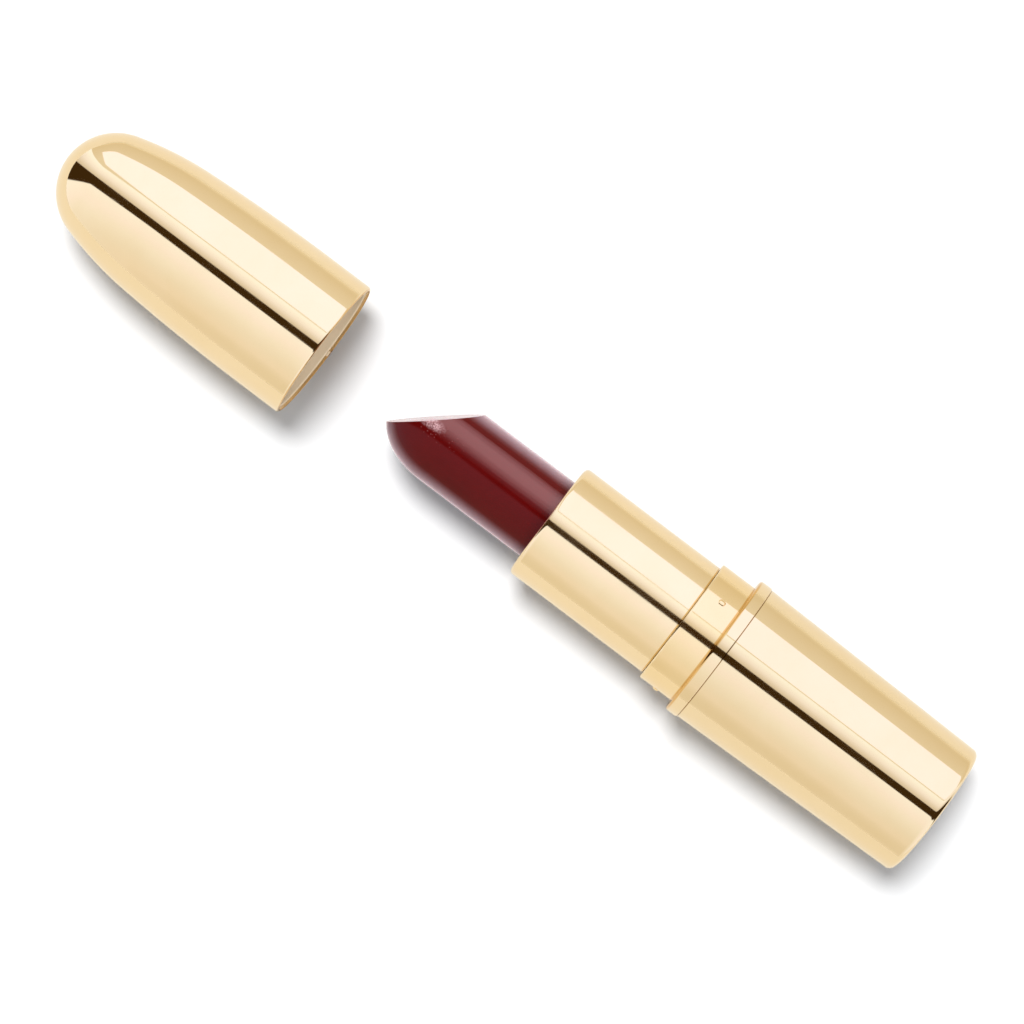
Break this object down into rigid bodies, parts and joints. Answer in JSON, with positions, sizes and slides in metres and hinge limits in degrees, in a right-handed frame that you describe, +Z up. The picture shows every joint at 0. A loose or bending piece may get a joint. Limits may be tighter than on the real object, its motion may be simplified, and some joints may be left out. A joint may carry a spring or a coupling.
{
  "type": "lipstick case",
  "caption": "Gold twist-up lipstick case lying on its side, bullet-shaped cap drawn off, slanted wine-red stick wound out of its tube.",
  "frame": {"origin": "centre of the laid-out object's footprint, on the surface it lies on", "axes": "+Z up; +X along the tube's axis, from the base's foot to the cap's nose; the slanted face of the stick looks towards -Y"},
  "size_m": [0.1436, 0.021, 0.0211],
  "materials": {
    "gold_base": "bright champagne gold anodised, mirror polished",
    "gold_ring": "bright yellow gold anodised, mirror polished",
    "gold_tube": "bright champagne gold anodised, mirror polished",
    "gold_cap": "bright champagne gold anodised, mirror polished",
    "liner_plastic": "pinkish beige moulded polypropylene",
    "insert_plastic": "natural moulded plastic",
    "mechanism_plastic": "ivory moulded acetal",
    "cup_plastic": "gold metallised plastic",
    "brake_silicone": "translucent silicone, greased",
    "weight_steel": "turned steel",
    "label_paper": "plain coated paper",
    "stick_wax": "glossy wine-red wax"
  },
  "bodies": {
    "base": {"base_shell": "gold_base", "base_collar": "gold_base", "snap_collar": "gold_ring", "base_insert": "insert_plastic", "base_weight": "weight_steel", "shade_label": "label_paper", "guide_tube": "mechanism_plastic", "brake_ring": "brake_silicone"},
    "tube": {"gold_tube": "gold_tube", "cam_sleeve": "mechanism_plastic"},
    "carrier": {"stick_cup": "cup_plastic", "lipstick_stick": "stick_wax"},
    "cap": {"cap_shell": "gold_cap", "cap_liner": "liner_plastic"}
  },
  "joints": [
    {"name": "tube_twist", "type": "hinge", "parent": "base", "child": "tube", "pos_m": [0, 0, 0.01055], "axis": [1, 0, 0], "range_deg": [0, 540]},
    {"name": "carrier_slide", "type": "slide", "parent": "base", "child": "carrier", "axis": [1, 0, 0], "range_m": [-0.026, 0]},
    {"name": "cap_slide", "type": "slide", "parent": "base", "child": "cap", "axis": [-1, 0, 0], "range_m": [0, 0.0643], "deforming": ["lipstick_stick"]}
  ],
  "couplings": [
    {"joint": "carrier_slide", "follows": "tube_twist", "m_per_rad": -0.0027587}
  ]
}
